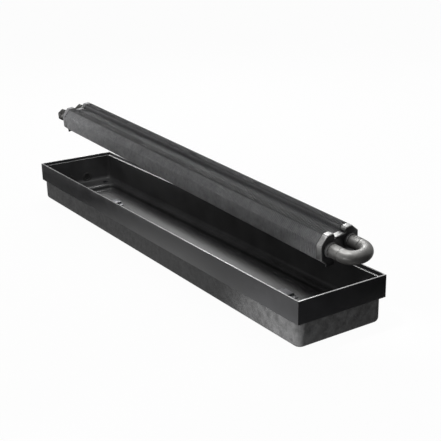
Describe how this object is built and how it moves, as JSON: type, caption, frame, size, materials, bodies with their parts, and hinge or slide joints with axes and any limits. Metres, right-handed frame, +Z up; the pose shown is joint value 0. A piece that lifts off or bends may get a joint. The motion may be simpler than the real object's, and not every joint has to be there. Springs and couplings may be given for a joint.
{
  "type": "trench convector heater",
  "caption": "Long floor trough with a frame and a grille ledge, and its finned hot-water heat exchanger, which lifts out of the trough and has a return bend and threaded connectors.",
  "frame": {"origin": "middle of the trough's flat underside, on the floor", "axes": "X along the trough from the connector end (-X) to the return bend (+X), Y across it to the far side, Z up"},
  "size_m": [1, 0.1914, 0.2336],
  "materials": {
    "frame_black": "satin black powder coat",
    "liner_black": "smooth glossy black coat",
    "tub_grey": "mottled matt grey moulding",
    "fin_graphite": "graphite-lacquered fins",
    "plate_black": "black coat with bright folded edges",
    "pipe_metal": "dull satin metal",
    "rubber_black": "matt",
    "zinc_steel": "zinc-plated",
    "vent_brass": "plain"
  },
  "bodies": {
    "trough": {"near_rail": "frame_black", "far_rail": "frame_black", "left_rail": "frame_black", "right_rail": "frame_black", "corner_keys": "zinc_steel", "insulating_tub": "tub_grey", "trough_liner": "liner_black", "fixing_bushes": "zinc_steel", "pipe_grommets": "rubber_black", "left_support": "liner_black", "right_support": "liner_black", "support_rivets": "liner_black"},
    "rocking_foot": {"left_foot": "rubber_black"},
    "exchanger": {"right_foot": "rubber_black", "left_foot_bracket": "zinc_steel", "right_foot_bracket": "zinc_steel", "fin_pack": "fin_graphite", "near_tube": "pipe_metal", "far_tube": "pipe_metal", "left_end_plate": "plate_black", "right_end_plate": "plate_black", "tube_bushes": "rubber_black", "return_bend": "pipe_metal", "near_connector": "pipe_metal", "far_connector": "pipe_metal", "vent_body": "vent_brass"},
    "vent": {"vent_screw": "zinc_steel"}
  },
  "joints": [
    {"name": "exchanger_lift", "type": "slide", "parent": "trough", "child": "rocking_foot", "axis": [0, 0, 1], "range_m": [-0.148, 0]},
    {"name": "exchanger_turn", "type": "hinge", "parent": "rocking_foot", "child": "exchanger", "pos_m": [-0.33715, 0, 0.1603], "axis": [0.6959, 0.5759, 0.4289], "range_deg": [-9.6, 0]},
    {"name": "vent_turn", "type": "hinge", "parent": "exchanger", "child": "vent", "pos_m": [-0.47049, 0.02886, 0.2115], "axis": [-0.0659, 0.9906, 0.1195], "range_deg": [0, 360]}
  ],
  "couplings": [
    {"joint": "exchanger_turn", "follows": "exchanger_lift", "rad_per_m": 1.1321}
  ]
}
